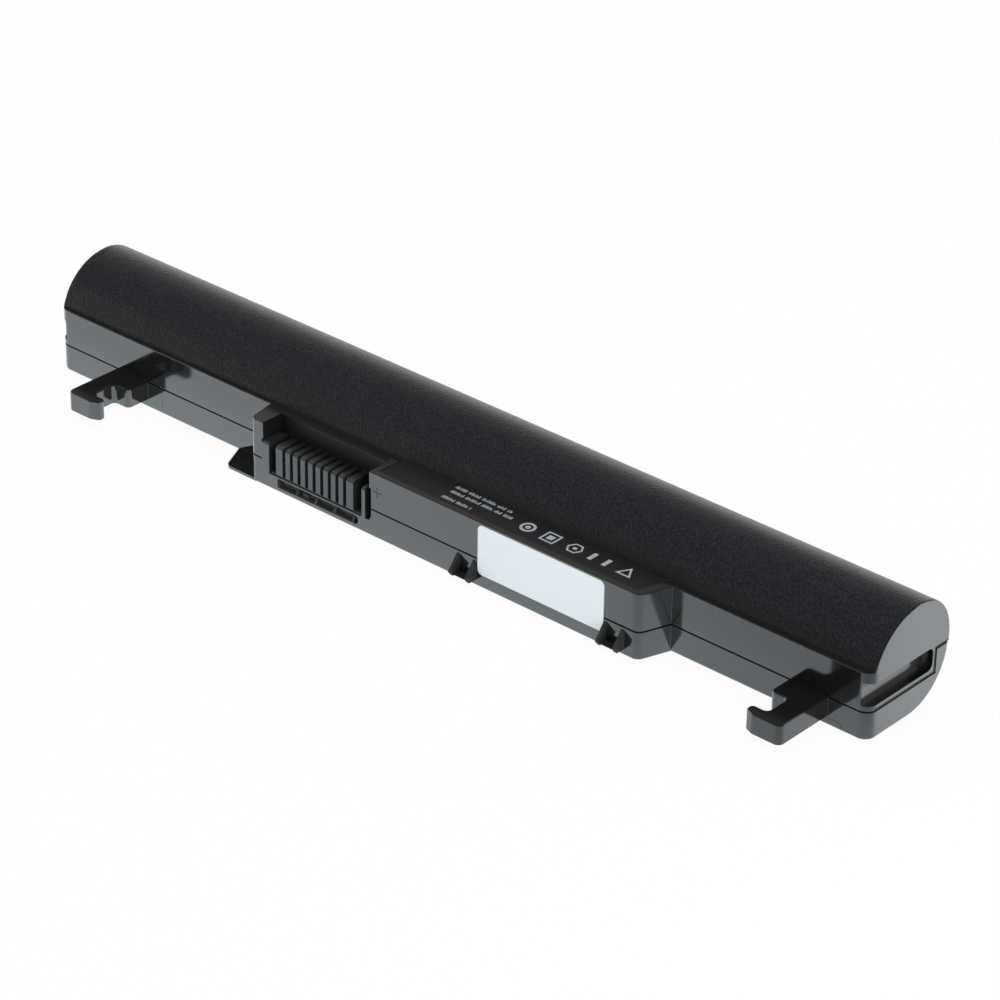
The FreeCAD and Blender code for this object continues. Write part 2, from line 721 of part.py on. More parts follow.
def hooks():
    """Two latch hooks of the lower shell, mirror images of each other."""
    outer = S["hook_left_inset"] - half_length
    middle = (S["hook_left_inset"] - S["hook_right_inset"]) / 2
    arm = outer + S["hook_arm_width"]
    base = outer + S["hook_base_width"]
    tip = outer + S["hook_finger_length"]
    finger = S["hook_finger_width"] - S["hook_reach"]
    points = (
        (outer, S["wall"] / 2),
        (outer, -S["hook_reach"]),
        (tip - S["hook_lead_length"], -S["hook_reach"]),
        (tip, S["hook_lead_depth"] - S["hook_reach"]),
        (tip, finger),
        (arm, finger),
        (arm, -S["hook_base_depth"]),
        (base, -S["hook_base_depth"]),
        (base, S["wall"] / 2),
    )
    left = prism(
        "hook_left", "XY_Plane", points, S["hook_low"], S["seam_height"] - S["hook_low"])
    round_edges(left, S["hook_outer_radius"], along_at("z", [points[1]]))
    round_edges(left, S["hook_lead_radius"], along_at("z", [points[2]]))
    round_edges(left, S["hook_tip_radius"], along_at("z", points[3:5]))
    round_edges(left, S["hook_inner_radius"], along_at("z", points[5:8]))
    outer_side = level_edges(S["seam_height"])

    def front_rim(middle, ends):
        along = near(middle.x, outer) or middle.y < finger.value - 1
        return outer_side(middle, ends) and along and middle.y < 0

    round_edges(left, S["hook_edge"], front_rim)
    return left, mirrored("hook_right", left, middle)


def tab():
    """The thin tab at the underside, left of the housing."""
    inner = S["housing_left"] + S["housing_left_slant"] + 1
    tab_front = front + S["tab_setback"]
    points = (
        (inner, tab_front),
        (S["tab_left"] + S["tab_slant"], tab_front),
        (S["tab_left"], 0),
        (S["tab_left"], S["wall"]),
        (inner, S["wall"]),
    )
    body = prism("thin_tab", "XY_Plane", points, 0, S["tab_thickness"])
    round_edges(body, S["tab_corner"], along_at("z", [points[1]]))
    return body


def catch(name, middle):
    """A small catch: two gussets on the housing with a plate between them."""
    inner = front + S["wall"] / 2
    nose = front - S["gusset_reach"]
    points = (
        (inner, S["gusset_low"]),
        (nose + S["gusset_reach"] * 0.25, S["gusset_low"]),
        (nose, S["gusset_nose"]),
        (front, S["gusset_top"]),
        (inner, S["gusset_top"]),
    )
    half = S["gusset_width"] / 2
    centres = (middle - S["catch_span"] / 2, middle + S["catch_span"] / 2)
    gussets = [
        prism("%s_gusset_%d" % (name, i), "YZ_Plane", points, x - half, S["gusset_width"])
        for i, x in enumerate(centres, start=1)]
    plate_front = nose + S["catch_inset"]
    plate_top = S["gusset_low"] + S["catch_floor"]
    plate_points = (
        (inner, S["gusset_low"]), (plate_front + S["catch_undercut"], S["gusset_low"]),
        (plate_front, plate_top), (inner, plate_top))
    plate = prism(name + "_plate", "YZ_Plane", plate_points, centres[0], S["catch_span"])
    return gussets + [plate]


def low_slot():
    """The cut of the low slot under the connector, rounded more at its right end."""
    points = (
        (S["slot_left"], S["slot_low"]), (S["slot_right"], S["slot_low"]),
        (S["slot_right"], S["slot_high"]), (S["slot_left"], S["slot_high"]))
    body = prism(
        "low_slot", "XZ_Plane", points, S["housing_reach"] - S["slot_depth"],
        S["slot_depth"] * 2)
    round_edges(body, S["slot_left_round"], along_at("y", [points[0], points[3]]))
    round_edges(body, S["slot_right_round"], along_at("y", [points[1], points[2]]))
    return body


def slot_ribs():
    """Sloping ribs that divide the low slot under the connector."""
    back = front + S["slot_depth"]
    into = S["slot_wall"] / 2
    points = (
        (front, S["slot_low"] - into),
        (back + into, S["slot_low"] - into),
        (back + into, S["slot_high"]),
        (back, S["slot_high"]),
        (front, S["slot_low"]),
    )
    return [
        prism("slot_rib_%d" % i, "YZ_Plane", points,
              S["slot_left"] + S["slot_rib_pitch"] * i - S["slot_rib"] / 2, S["slot_rib"])
        for i in range(5)]


def cheeks():
    """The wide upright left of the connector and the thin one right of it."""
    under = S["wall"] / 2
    wide_points = (
        (front, under), (bay_back, under), (bay_back, S["cheek_height"]),
        (front, S["cheek_height"]))
    wide = prism("cheek", "YZ_Plane", wide_points, cheek_left, S["cheek_width"])
    round_edges(wide, S["cheek_round"], along_at("x", [wide_points[3]]))
    back = front + S["guide_depth"]
    thin_points = (
        (front, under), (back, under), (back, S["guide_height"]), (front, S["guide_height"]))
    thin = prism("guide", "YZ_Plane", thin_points, guide_left, S["guide_width"])
    round_edges(thin, S["guide_round"], along_at("x", [thin_points[3]]))
    return wide, thin


def board_rests():
    """Low ribs on the floor that carry the circuit board."""
    spots = (
        S["board_left"] + S["rest_inset"],
        (S["board_left"] + S["board_right"]) / 2,
        S["board_right"] - S["rest_inset"],
    )
    return [
        block("board_rest_%d" % i, (x, x + S["rest_width"]),
              (front + S["wall"] / 2, S["board_back"]), (S["wall"] / 2, S["board_low"]))
        for i, x in enumerate(spots, start=1)]


def plus_sign():
    """The cut of the moulded plus sign."""
    half = S["plus_size"] / 2
    stroke = S["plus_line"] / 2
    deep = (far_front, front + S["plus_depth"])
    x = S["plus_x"]
    z = S["plus_z"]
    return (
        block("plus_across", (x - half, x + half), deep, (z - stroke, z + stroke)),
        block("plus_upright", (x - stroke, x + stroke), deep, (z - half, z + half)))


def sunk_panel():
    """The shallow cut of the panel on the housing top."""
    left = S["bay_right"] + S["panel_inset"]
    panel_front = front + S["panel_inset"]
    points = (
        (left, S["panel_back"]), (left, panel_front), (S["panel_right"], panel_front),
        (S["panel_right"] + S["panel_slant"], S["panel_back"]))
    body = prism("panel", "XY_Plane", points, ledge_height - S["panel_depth"], high)
    round_edges(body, S["panel_corner"], along_at("z", points[1:3]))
    return body


def shells():
    """The upper and the lower shell, with everything moulded to them."""
    space = cavity()
    opening = bay()
    groove = groove_cutter("groove_right", length(0), S["groove_blend"])
    corner = case_corner()
    cuts = (
        groove, mirrored("groove_left", groove, 0), corner, mirrored("corner_left", corner, 0))
    region = lower_region("below_seam", 0)
    upper_form = join(
        "upper_form", roof("upper_roof", 0), ledge_block(),
        housing_block("upper_housing", length(0), top=S["edge_radius"]))
    upper = cut(
        "upper_shell", upper_form, region, space, opening, sunk_panel(), *cuts, *plus_sign())
    node(upper, "upper_shell")

    lower_form = join(
        "lower_form", tub("lower_barrel", length(0), foot=S["foot_radius"]),
        housing_block("lower_housing", length(0), foot=S["housing_foot"]))
    below = overlap("lower_form_below", lower_form, region)
    core = join(
        "seam_core", tub("seam_barrel", S["seam_depth"]),
        housing_block("seam_housing", S["seam_depth"]))
    band = cut("seam_band", region, lower_region("under_band", S["seam_gap"]))
    seam_line = cut("seam_line", band, core)
    hollow = cut("lower_hollow", below, space, opening, seam_line, low_slot())
    lower = join(
        "lower_shell", hollow, *hooks(), tab(), *catch("catch_left", S["catch_first"]),
        *catch("catch_right", S["catch_second"]), *slot_ribs(), *board_rests(), *cheeks())
    node(lower, "lower_shell")


def connector():
    """The comb of the connector with a blade in each slot."""
    comb_front = front + S["comb_setback"]
    left = cheek_right + S["comb_clearance"]
    right = guide_left - S["comb_clearance"]
    floor = S["lip_height"] + S["comb_base"]
    foot_front = front + S["slot_depth"] + S["slot_wall"] + S["comb_clearance"]
    points = (
        (comb_front, S["lip_height"]), (bay_back, S["lip_height"]),
        (bay_back, S["comb_top"]), (comb_front, S["comb_top"]))
    fins = prism(
        "fins", "YZ_Plane", points, S["comb_left"], S["comb_right"] - S["comb_left"])
    round_edges(fins, S["comb_nose"], along_at("x", [points[3]]))
    base = block("comb_base", (left, right), (comb_front, bay_back), (S["lip_height"], floor))
    foot = block("comb_foot", (left, right), (foot_front, S["comb_back"]), (board_top, floor))
    rear = block(
        "comb_rear", (left, right), (bay_back, S["comb_back"]), (floor, S["comb_top"]))
    middle = int((S["pin_count"].value - 1) / 2)
    blade_front = comb_front + S["blade_setback"]
    half_blade = S["blade_thickness"] / 2
    half_slot = S["pin_slot"] / 2
    top = floor + S["blade_height"]
    blade_points = (
        (blade_front, floor), (bay_back - S["blade_root"], floor),
        (bay_back - S["blade_root"], board_top), (bay_back, board_top),
        (bay_back, top), (blade_front, top))
    slots = []
    for i in range(-middle, middle + 1):
        x = S["comb_centre"] + S["pin_pitch"] * i
        name = "contact_blade_%d" % (i + middle + 1)
        blade = prism(name, "YZ_Plane", blade_points, x - half_blade, S["blade_thickness"])
        round_edges(blade, S["blade_round"], along_at("x", [blade_points[5]]))
        node(blade, name)
        slots.append(block(
            "slot_%d" % (i + middle + 1), (x - half_slot, x + half_slot),
            (comb_front - 1, bay_back), (floor, high)))
        slots.append(block(
            "root_%d" % (i + middle + 1), (x - half_blade, x + half_blade),
            (bay_back - S["blade_root"], bay_back), (board_top - 1, high)))
    comb = cut("connector_body", join("comb_form", fins, base, foot, rear), *slots)
    node(comb, "connector_body")


def cells():
    """Three cells in a row, with their rings and adhesive strips."""
    edge = S["cell_edge"]
    radius = S["cell_radius"]
    crimp_end = S["cell_length"] - S["crimp_setback"]
    crimp_start = crimp_end - S["crimp_width"]
    waist = radius - S["crimp_depth"]
    button = S["cell_button_radius"]
    points = (
        (0, 0), (0, radius - edge), (edge, radius), (crimp_start, radius),
        (crimp_start + S["crimp_depth"], waist), (crimp_end - S["crimp_depth"], waist),
        (crimp_end, radius), (S["cell_length"] - edge, radius),
        (S["cell_length"], radius - edge), (S["cell_length"], button),
        (cell_total, button), (cell_total, 0))
    ring_points = (
        (0, button + S["part_gap"]), (0, radius - S["ring_margin"]),
        (S["ring_thickness"], radius - S["ring_margin"]),
        (S["ring_thickness"], button + S["part_gap"]))
    for i in range(3):
        x = first_cell + (cell_total + S["link_gap"]) * i
        node(turned("cell_%d" % (i + 1), points, x, axis_y, axis_z), "cell_%d" % (i + 1))
        name = "insulator_ring_%d" % (i + 1)
        node(turned(name, ring_points, x + S["cell_length"], axis_y, axis_z), name)
        name = "adhesive_strip_%d" % (i + 1)
        centre = x + S["cell_length"] / 2
        ends = (centre - S["pad_length"] / 2, centre + S["pad_length"] / 2)
        outer = rod(name + "_outer", axis_z - S["wall"], "X", *ends, (axis_y, axis_z))
        inner = rod(name + "_inner", radius, "X", ends[0] - 1, ends[1] + 1, (axis_y, axis_z))
        strip = block(name + "_strip", ends, (axis_y, axis_y + S["pad_width"]), (0, axis_z))
        node(cut(name, overlap(name + "_form", outer, strip), inner), name)


def strip_plate(name, x, thickness, foot):
    """The welded end of a nickel strip, square to X, with its tail down to the board."""
    half = S["strip_width"] / 2
    bottom = axis_z - S["strip_drop"]
    plate = block(name + "_plate", (x, x + thickness), (axis_y - half, axis_y + half),
                  (bottom, axis_z + S["strip_rise"]))
    points = (
        (axis_y - half, bottom), (foot - S["tail_width"] / 2, board_top),
        (foot + S["tail_width"] / 2, board_top), (axis_y - half + S["tail_width"], bottom),
        (axis_y - half + S["tail_width"], bottom + 1), (axis_y - half, bottom + 1))
    tail = prism(name + "_tail", "YZ_Plane", points, x, thickness)
    return [plate, tail]


def strips():
    """Nickel strips between the cells and at both ends, with the leads to the board."""
    thin = S["strip_thickness"]
    half = S["strip_width"] / 2
    strip_top = axis_z + S["strip_rise"]
    foot = S["tail_offset"]
    for i in range(2):
        name = "series_link_%d" % (i + 1)
        x = first_cell + (cell_total + S["link_gap"]) * i + cell_total
        far = x + S["link_gap"] - thin
        near_plate = block(
            name + "_near", (x, x + thin), (axis_y - half, axis_y + half),
            (axis_z - S["strip_drop"], strip_top))
        fold = block(
            name + "_fold", (x, far + thin), (axis_y - half, axis_y + half),
            (strip_top - thin, strip_top))
        pad = block(
            name + "_pad", (far, far + S["tail_width"]),
            (foot - S["tail_width"] / 2, foot + S["tail_width"] / 2),
            (board_top, board_top + thin))
        node(join(name, near_plate, fold, pad, *strip_plate(name, far, thin, foot)), name)
    end = -first_cell
    foot = S["lead_offset"]
    for name, x in (("negative_end", first_cell - thin), ("positive_end", end)):
        node(join(name + "_tab", *strip_plate(name, x, thin, foot)), name + "_tab")
    radius = S["lead_diameter"] / 2
    across = (S["lead_offset"], board_top + radius)
    node(rod("negative_lead", radius, "X", first_cell, S["board_left"] + S["lead_overlap"], across),
         "negative_lead")
    node(rod("positive_lead", radius, "X", S["board_right"] - S["lead_overlap"], end, across),
         "positive_lead")


def chip(name, kind, x, legs=0):
    """A part in the row on the board: a body, and legs along both long sides if it has them."""
    width = S[kind + "_length"]
    y = -S["chip_line"] - S[kind + "_width"] / 2
    back = y + S[kind + "_width"]
    lift = S["chip_lift"] if legs else 0
    body = block(name + "_case", (x, x + width), (y, back),
                 (board_top + lift, board_top + lift + S[kind + "_height"]))
    pieces = [body]
    for i in range(legs):
        leg = S["leg_width"]
        start = x + (width / legs) * i + (width / legs - leg) / 2
        pieces.append(block(
            "%s_leg_%d" % (name, i + 1), (start, start + leg),
            (y - S["leg_reach"], back + S["leg_reach"]),
            (board_top, board_top + lift + S["leg_thickness"])))
    if len(pieces) > 1:
        body = join(name, *pieces)
    return node(body, name)


def small_chips(name, kind, spots):
    """Small parts of one kind, each at its left and front side."""
    pieces = [
        block("%s_%d" % (kind, i), (x, x + S["small_length"]), (y, y + S["small_width"]),
              (board_top, board_top + S[kind + "_height"]))
        for i, (x, y) in enumerate(spots, start=1)]
    return node(group(name, pieces), name)


def electronics():
    """The circuit board and everything on it."""
    points = (
        (S["board_left"], -S["board_front"]), (S["board_right"], -S["board_front"]),
        (S["board_right"], S["board_back"]), (S["board_left"], S["board_back"]))
    board = prism("circuit_board", "XY_Plane", points, S["board_low"], S["board_thickness"])
    round_edges(board, S["board_corner"], along_at("z", points))
    node(board, "circuit_board")
    gauge = S["gauge_left"]
    first_switch = S["switch_left"]
    second_switch = first_switch + S["switch_pitch"]
    chip("fuel_gauge_chip", "gauge", gauge, legs=8)
    chip("protection_chip", "guard", S["guard_left"], legs=4)
    chip("charge_mosfet", "switch", first_switch, legs=4)
    chip("discharge_mosfet", "switch", second_switch, legs=4)
    chip("chemical_fuse", "fuse", S["fuse_left"])
    chip("sense_resistor", "shunt", S["shunt_left"])
    step = S["small_step"]
    side = gauge - step * 2
    between = first_switch + S["switch_length"] + step / 4
    back_row = S["small_back"]
    front_row = -S["small_front"]
    small_chips("chip_capacitors", "capacitor", (
        (side - step, back_row), (side, back_row), (gauge + step / 2, back_row),
        (first_switch - step, back_row), (between, back_row)))
    small_chips("chip_resistors", "resistor", (
        (side - step, front_row), (side, front_row), (side, -S["chip_line"]),
        (first_switch - step, front_row), (between, front_row), (S["shunt_left"], back_row)))


def sheet_and_sensor():
    """The insulating sheet between cells and board, and the temperature sensor on it."""
    half = S["sheet_length"] / 2
    radius = S["cell_radius"]
    outer = rod("sheet_outer", radius + S["sheet_thickness"], "X", -half, half, (axis_y, axis_z))
    inner = rod("sheet_inner", radius, "X", -half - 1, half + 1, (axis_y, axis_z))
    part = block(
        "sheet_part", (-half, half), (0, axis_y - S["sheet_edge"]), (0, axis_z - S["sheet_drop"]))
    node(cut("insulating_sheet", overlap("sheet_form", outer, part), inner), "insulating_sheet")
    reach = radius + S["sheet_thickness"] + S["bead_radius"]
    bead_y = axis_y - reach * S["bead_forward"]
    bead_z = axis_z - root(length(1) - S["bead_forward"] * S["bead_forward"]) * reach
    bead = doc.addObject("Part::Sphere", "bead")
    bind(bead, "Radius", S["bead_radius"])
    place(bead, S["bead_x"], bead_y, bead_z)
    legs = [
        rod("bead_leg_%d" % i, S["bead_leg"], "Z", board_top, bead_z, (x, bead_y))
        for i, x in enumerate(
            (S["bead_x"] - S["bead_radius"] / 2, S["bead_x"] + S["bead_radius"] / 2), start=1)]
    node(join("thermistor", bead, *legs), "thermistor")


def label():
    """The blank label on the housing front."""
    right = S["label_left"] + S["label_width"]
    top = ledge_height - S["label_margin"]
    points = (
        (S["label_left"], S["label_low"]), (right, S["label_low"]),
        (right, top), (S["label_left"], top))
    body = prism("label", "XZ_Plane", points, S["housing_reach"], S["label_thickness"])
    corners = [(x, z) for x, z in points]
    round_edges(body, S["label_corner"], along_at("y", corners))
    node(body, "label")


shells()
connector()
cells()
strips()
electronics()
sheet_and_sensor()
label()
doc.recompute()
for item in doc.Objects:
    if "Invalid" in item.State or "Error" in item.State:
        raise SystemExit("%s did not build" % item.Name)
os.makedirs("parts", exist_ok=True)
for item in NODES:
    shape = item.Shape
    if shape.isNull() or not shape.isValid():
        raise SystemExit("%s has no valid shape" % item.Label)
    shape.exportStep("parts/%s.step" % item.Label)
    print(item.Label, len(shape.Solids), round(shape.Volume, 1))
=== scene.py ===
"""Looks of the three-cell laptop battery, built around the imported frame.

Lengths in this file are millimetres unless a comment says metres; the scene itself is in metres.
The case keeps its solids and gets moulded-plastic materials whose gloss, grain, scuffs and dust
follow the place on the case. The small printed marks are separate pieces on the sunk panel.
"""

import math
import random

import bmesh
import bpy
from mathutils import Matrix, Vector


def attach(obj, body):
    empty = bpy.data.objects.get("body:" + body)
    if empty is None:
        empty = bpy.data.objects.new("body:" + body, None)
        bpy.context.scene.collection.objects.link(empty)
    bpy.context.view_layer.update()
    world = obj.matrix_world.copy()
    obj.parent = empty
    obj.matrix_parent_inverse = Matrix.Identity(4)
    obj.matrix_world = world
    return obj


MM = 0.001

# Heights and depths of the case, as in the solids.
LEDGE_TOP = 13.7
PANEL_TOP = 13.55
ROOF_CROWN = (13.09, 22.45)
ROOF_RADII = (12.455, 9.66)
HALF_LENGTH = 102.0

# Middle and half size of the label, along x and z.
LABEL_MIDDLE = (32.45, 8.0)
LABEL_HALF = (15.15, 5.2)

# Places on the case that its material tells apart: low and high along x, y and z.
CONNECTOR_BAY = ((-38.4, -9.6), (-6.6, -1.2), (3.1, 13.35))
BAY_SIDE = ((-38.7, -37.9), (-6.45, -0.9), (3.1, 13.6))
LOW_SLOT = ((-34.6, -12.7), (-6.45, -5.2), (0.6, 3.1))

# The same along one axis: the two catches, the panel's border, the post, the bay's rim, the groove.
CATCHES_X = ((11.9, 17.1), (47.5, 52.7))
BORDER_X = (-10.5, 57.9)
POST_X = (-43.0, -37.9)
BAY_RIM_Y = (-1.45, -0.98)
GROOVE_Z = (6.95, 11.6)

# Strips along the seam of the ends, where a dark line of painted shade widens the gap: low and
# high along z and y.
END_SEAM = (((5.9, 6.38), (1.6, 18.9)),
            ((5.9, 11.3), (18.52, 19.0)),
            ((10.85, 11.33), (18.52, 22.5)))

# Colours of the glossy case by place, each laid over the ones before it. Several are painted light
# and shade on the same plastic; the comment over each says so.
CASE_COLOURS = (
    # Painted light: upward faces a little lighter than the walls; their rougher, uncoated finish is
    # their own.
    (("top",), (0.0095, 0.0100, 0.0108)),
    # Painted light: the end faces much lighter than the front walls of the same plastic.
    (("outer_end",), (0.026, 0.028, 0.030)),
    (("in_groove",), (0.0085, 0.0088, 0.0090)),
    # Painted highlight: a pale patch high on the groove's back wall.
    (("groove_painted_light",), (0.150, 0.154, 0.158)),
    # Painted shade: a dark strip along the seam on the end faces.
    (("end_seam_painted_shade",), (0.0060, 0.0062, 0.0065)),
    # Painted light: the top of the post lighter than the other tops.
    (("post_top_painted_light",), (0.037, 0.0345, 0.032)),
    (("border",), (0.0255, 0.0225, 0.0215)),
    (("panel",), (0.0125, 0.0128, 0.0135)),
    (("in_bay",), (0.018, 0.020, 0.021)),
    # Painted shade: the back and side walls of the bay darker than the rest of the bay.
    (("bay_back", "bay_side"), (0.0075, 0.0078, 0.0080)),
    # Painted light: the shaded hollows of the catches lifted to a lighter grey.
    (("catch",), (0.028, 0.029, 0.029)),
    # Painted light: the shaded low slot lifted to a lighter grey.
    (("slot",), (0.060, 0.061, 0.062)),
    (("marks",), (0.012, 0.012, 0.012)))

# Roughness by place in the same way, and the places that have no clear coat.
CASE_ROUGHNESS = (
    (("top",), 0.3),
    (("outer_end",), 0.22),
    (("panel",), 0.36),
    (("in_bay",), 0.5),
    (("in_groove", "end_seam_painted_shade", "rim"), 0.5),
    (("catch", "slot"), 0.42))
UNCOATED = ("catch", "slot", "top", "hook_top", "in_groove", "end_seam_painted_shade", "bay_back", "bay_side",
            "rim", "marks")

# Photograph's viewpoint; the angles are in degrees.
CAMERA_AT = (434.26, -472.58, 373.15)
CAMERA_AZIMUTH = 41.46
CAMERA_TILT = 60.427
CAMERA_ROLL = 0.855
FOCAL_PIXELS = 3961.0
FRAME_PIXELS = 1000.0
SENSOR_WIDTH = 36.0
CLIP_METRES = (0.01, 100.0)

# Lamps: name, place in metres, side in metres and power in watts.
LAMPS = (("key", (-0.4, 0.1, 1.1), 0.7, 4.0), ("side", (1.0, -0.1, 0.5), 0.6, 7.0))

# The world's even light, and its brightness in reflections against height above the horizon: a
# pale sweep behind the part and a dark room in front. A direction's product with BEHIND, plus a
# half, fades from the room to the sweep over BEHIND_FADE.
EVEN_LIGHT = 0.65
SWEEP = ((0.0, 1.0), (0.26, 1.0), (0.38, 0.6), (0.49, 0.14), (0.62, 0.26), (0.8, 0.16), (1.0, 0.06))
ROOM = ((0.0, 0.45), (0.05, 0.12), (0.3, 0.05), (1.0, 0.06))
BEHIND = (-0.34, 0.37, 0.0)
BEHIND_FADE = ((0.42, 0.0), (0.60, 1.0))

# Brightness of the floor in reflections: along the front from left to right, and beside the
# right end from front to back. The front wall and the end mirror the floor at a slant, so a spot
# of floor counts at its place slid along by this share of its distance from them.
FRONT_SHADES = ((-45, 1.0), (-5, 0.94), (50, 0.92), (64, 0.75), (80, 0.71), (95, 0.68),
                (103, 0.65), (108, 0.60), (113, 0.53), (131, 0.38))
END_SHADES = ((0, 0.80), (5, 0.88), (11, 0.93), (20, 1.0))
FRONT_SLANT = -0.92
END_SLANT = -1.09
CORNER_SLANT = -0.3
FRONT_TINT = (0.85, 0.95, 1.0)
END_TINT = (0.93, 0.985, 1.0)
SECOND_REFLECTION = 0.45

# Half the side of the floor in metres, and how much of what the eye sees of it is plain white.
# The rest is lit, and shows the part's shadow.
FLOOR_HALF_METRES = 6.0
FLOOR_PLAIN = 0.95

# Sockets of the Mix node by what it mixes: the factor, the two values and the result.
MIX_SOCKETS = {"FLOAT": (0, 2, 3, 0), "VECTOR": (0, 4, 5, 1), "RGBA": (0, 6, 7, 2)}

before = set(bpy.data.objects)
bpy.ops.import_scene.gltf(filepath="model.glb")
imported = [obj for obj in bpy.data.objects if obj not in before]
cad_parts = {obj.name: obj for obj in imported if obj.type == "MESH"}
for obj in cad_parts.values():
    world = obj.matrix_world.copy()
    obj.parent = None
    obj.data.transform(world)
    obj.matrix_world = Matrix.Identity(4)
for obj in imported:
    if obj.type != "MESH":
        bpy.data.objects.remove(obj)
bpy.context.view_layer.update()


# Helpers.

class Tree:
    """Short calls for building the nodes of one material, or of the world."""

    def __init__(self, holder, output="ShaderNodeOutputMaterial"):
        holder.use_nodes = True
        self.holder = holder
        self.tree = holder.node_tree
        self.tree.nodes.clear()
        self.out = self.add(output)
        self.cached = {}

    def add(self, kind, **values):
        """A new node with some of its properties set."""
        item = self.tree.nodes.new(kind)
        for key, value in values.items():
            setattr(item, key, value)
        return item

    def link(self, source, target):
        self.tree.links.new(source, target)

    def feed(self, socket, value):
        """Put a number, a colour or another node's output into a socket."""
        if isinstance(value, bpy.types.NodeSocket):
            self.link(value, socket)
        else:
            socket.default_value = value

    def place(self):
        """Position on the part in millimetres."""
        if "place" not in self.cached:
            source = self.add("ShaderNodeTexCoord").outputs["Object"]
            scaled = self.add("ShaderNodeVectorMath", operation="SCALE")
            self.link(source, scaled.inputs[0])
            scaled.inputs["Scale"].default_value = 1 / MM
            self.cached["place"] = scaled.outputs[0]
        return self.cached["place"]

    def axis(self, letter):
        """One coordinate in millimetres."""
        if "split" not in self.cached:
            split = self.add("ShaderNodeSeparateXYZ")
            self.link(self.place(), split.inputs[0])
            self.cached["split"] = split
        return self.cached["split"].outputs[letter]

    def facing(self, letter):
        """One coordinate of the true surface normal."""
        if "facing" not in self.cached:
            split = self.add("ShaderNodeSeparateXYZ")
            self.link(self.add("ShaderNodeNewGeometry").outputs["True Normal"], split.inputs[0])
            self.cached["facing"] = split
        return self.cached["facing"].outputs[letter]

    def math(self, operation, first, second=0.0, third=0.0):
        """The result of one Math node."""
        item = self.add("ShaderNodeMath", operation=operation)
        for socket, value in zip(item.inputs, (first, second, third)):
            self.feed(socket, value)
        return item.outputs[0]

    def ramp(self, value, low, high, start=0.0, end=1.0):
        """value from low to high, mapped smoothly to start and end, and held beyond them."""
        item = self.add("ShaderNodeMapRange", interpolation_type="SMOOTHSTEP")
        for key, number in (("Value", value), ("From Min", low), ("From Max", high),
                            ("To Min", start), ("To Max", end)):
            self.feed(item.inputs[key], number)
        return item.outputs[0]

    def levels(self, share, stops):
        """share, from 0 to 1, mapped through a list of (share, level), straight between them."""
        item = self.add("ShaderNodeValToRGB")
        line = item.color_ramp
        while len(line.elements) < len(stops):
            line.elements.new(0.5)
        for element, (at, level) in zip(line.elements, stops):
            element.position = at
            element.color = (level, level, level, 1)
        self.link(share, item.inputs[0])
        return item.outputs["Color"]

    def steps(self, value, stops):
        """value mapped through a list of (place, level), straight between them."""
        low, high = stops[0][0], stops[-1][0]
        scaled = self.add("ShaderNodeMapRange")
        for key, number in (("Value", value), ("From Min", low), ("From Max", high)):
            self.feed(scaled.inputs[key], number)
        return self.levels(scaled.outputs[0],
                           [((at - low) / (high - low), level) for at, level in stops])

    def product(self, *values):
        result = values[0]
        for value in values[1:]:
            result = self.math("MULTIPLY", result, value)
        return result

    def largest(self, *values):
        result = values[0]
        for value in values[1:]:
            result = self.math("MAXIMUM", result, value)
        return result

    def rest_of(self, share):
        """What a share leaves of 1."""
        return self.math("SUBTRACT", 1.0, share)

    def between(self, letter, low, high, soft=0.05):
        """1 inside a range along one axis, 0 outside."""
        here = self.axis(letter)
        return self.product(self.ramp(here, low - soft, low + soft),
                            self.ramp(here, high - soft, high + soft, 1.0, 0.0))

    def inside(self, box):
        """1 inside a box given as ranges along x, y and z, 0 outside."""
        return self.product(*(self.between(letter, *span) for letter, span in zip("XYZ", box)))

    def noise(self, size, detail=2.0, roughness=0.5, stretch=(1, 1, 1), shift=0.0):
        """Noise whose blobs are about size millimetres."""
        item = self.add("ShaderNodeTexNoise")
        item.inputs["Scale"].default_value = 1.0
        item.inputs["Detail"].default_value = detail
        item.inputs["Roughness"].default_value = roughness
        moved = self.add("ShaderNodeMapping")
        moved.inputs["Location"].default_value = (shift, shift * 0.7, shift * 0.3)
        moved.inputs["Scale"].default_value = [1 / (size * axis) for axis in stretch]
        self.link(self.place(), moved.inputs["Vector"])
        self.link(moved.outputs[0], item.inputs["Vector"])
        return item.outputs["Fac"]

    def cells(self, size):
        """Voronoi cells of about size millimetres: distance and random colour."""
        item = self.add("ShaderNodeTexVoronoi")
        item.inputs["Scale"].default_value = 1 / size
        self.link(self.place(), item.inputs["Vector"])
        return item

    def mixed(self, kind, factor, first, second):
        """first where factor is 0 and second where it is 1."""
        item = self.add("ShaderNodeMix", data_type=kind)
        *inputs, output = MIX_SOCKETS[kind]
        for index, value in zip(inputs, (factor, first, second)):
            self.feed(item.inputs[index], value)
        return item.outputs[output]

    def mix(self, factor, *colours):
        """Two colours mixed; each is three numbers or another node's output."""
        first, second = (colour if isinstance(colour, bpy.types.NodeSocket) else (*colour, 1)
                         for colour in colours)
        return self.mixed("RGBA", factor, first, second)

    def blend(self, factor, first, second):
        """Two numbers mixed."""
        return self.mixed("FLOAT", factor, first, second)

    def bump(self, height, depth, normal=None):
        """Normals of a surface whose height, from 0 to 1, is worth depth millimetres."""
        item = self.add("ShaderNodeBump")
        item.inputs["Distance"].default_value = depth * MM
        self.link(height, item.inputs["Height"])
        if normal is not None:
            self.link(normal, item.inputs["Normal"])
        return item.outputs[0]

    def soft_edges(self, radius):
        """Normals rounded at the edges, as moulded edges are."""
        item = self.add("ShaderNodeBevel")
        item.samples = 6
        item.inputs["Radius"].default_value = radius * MM
        return item.outputs[0]

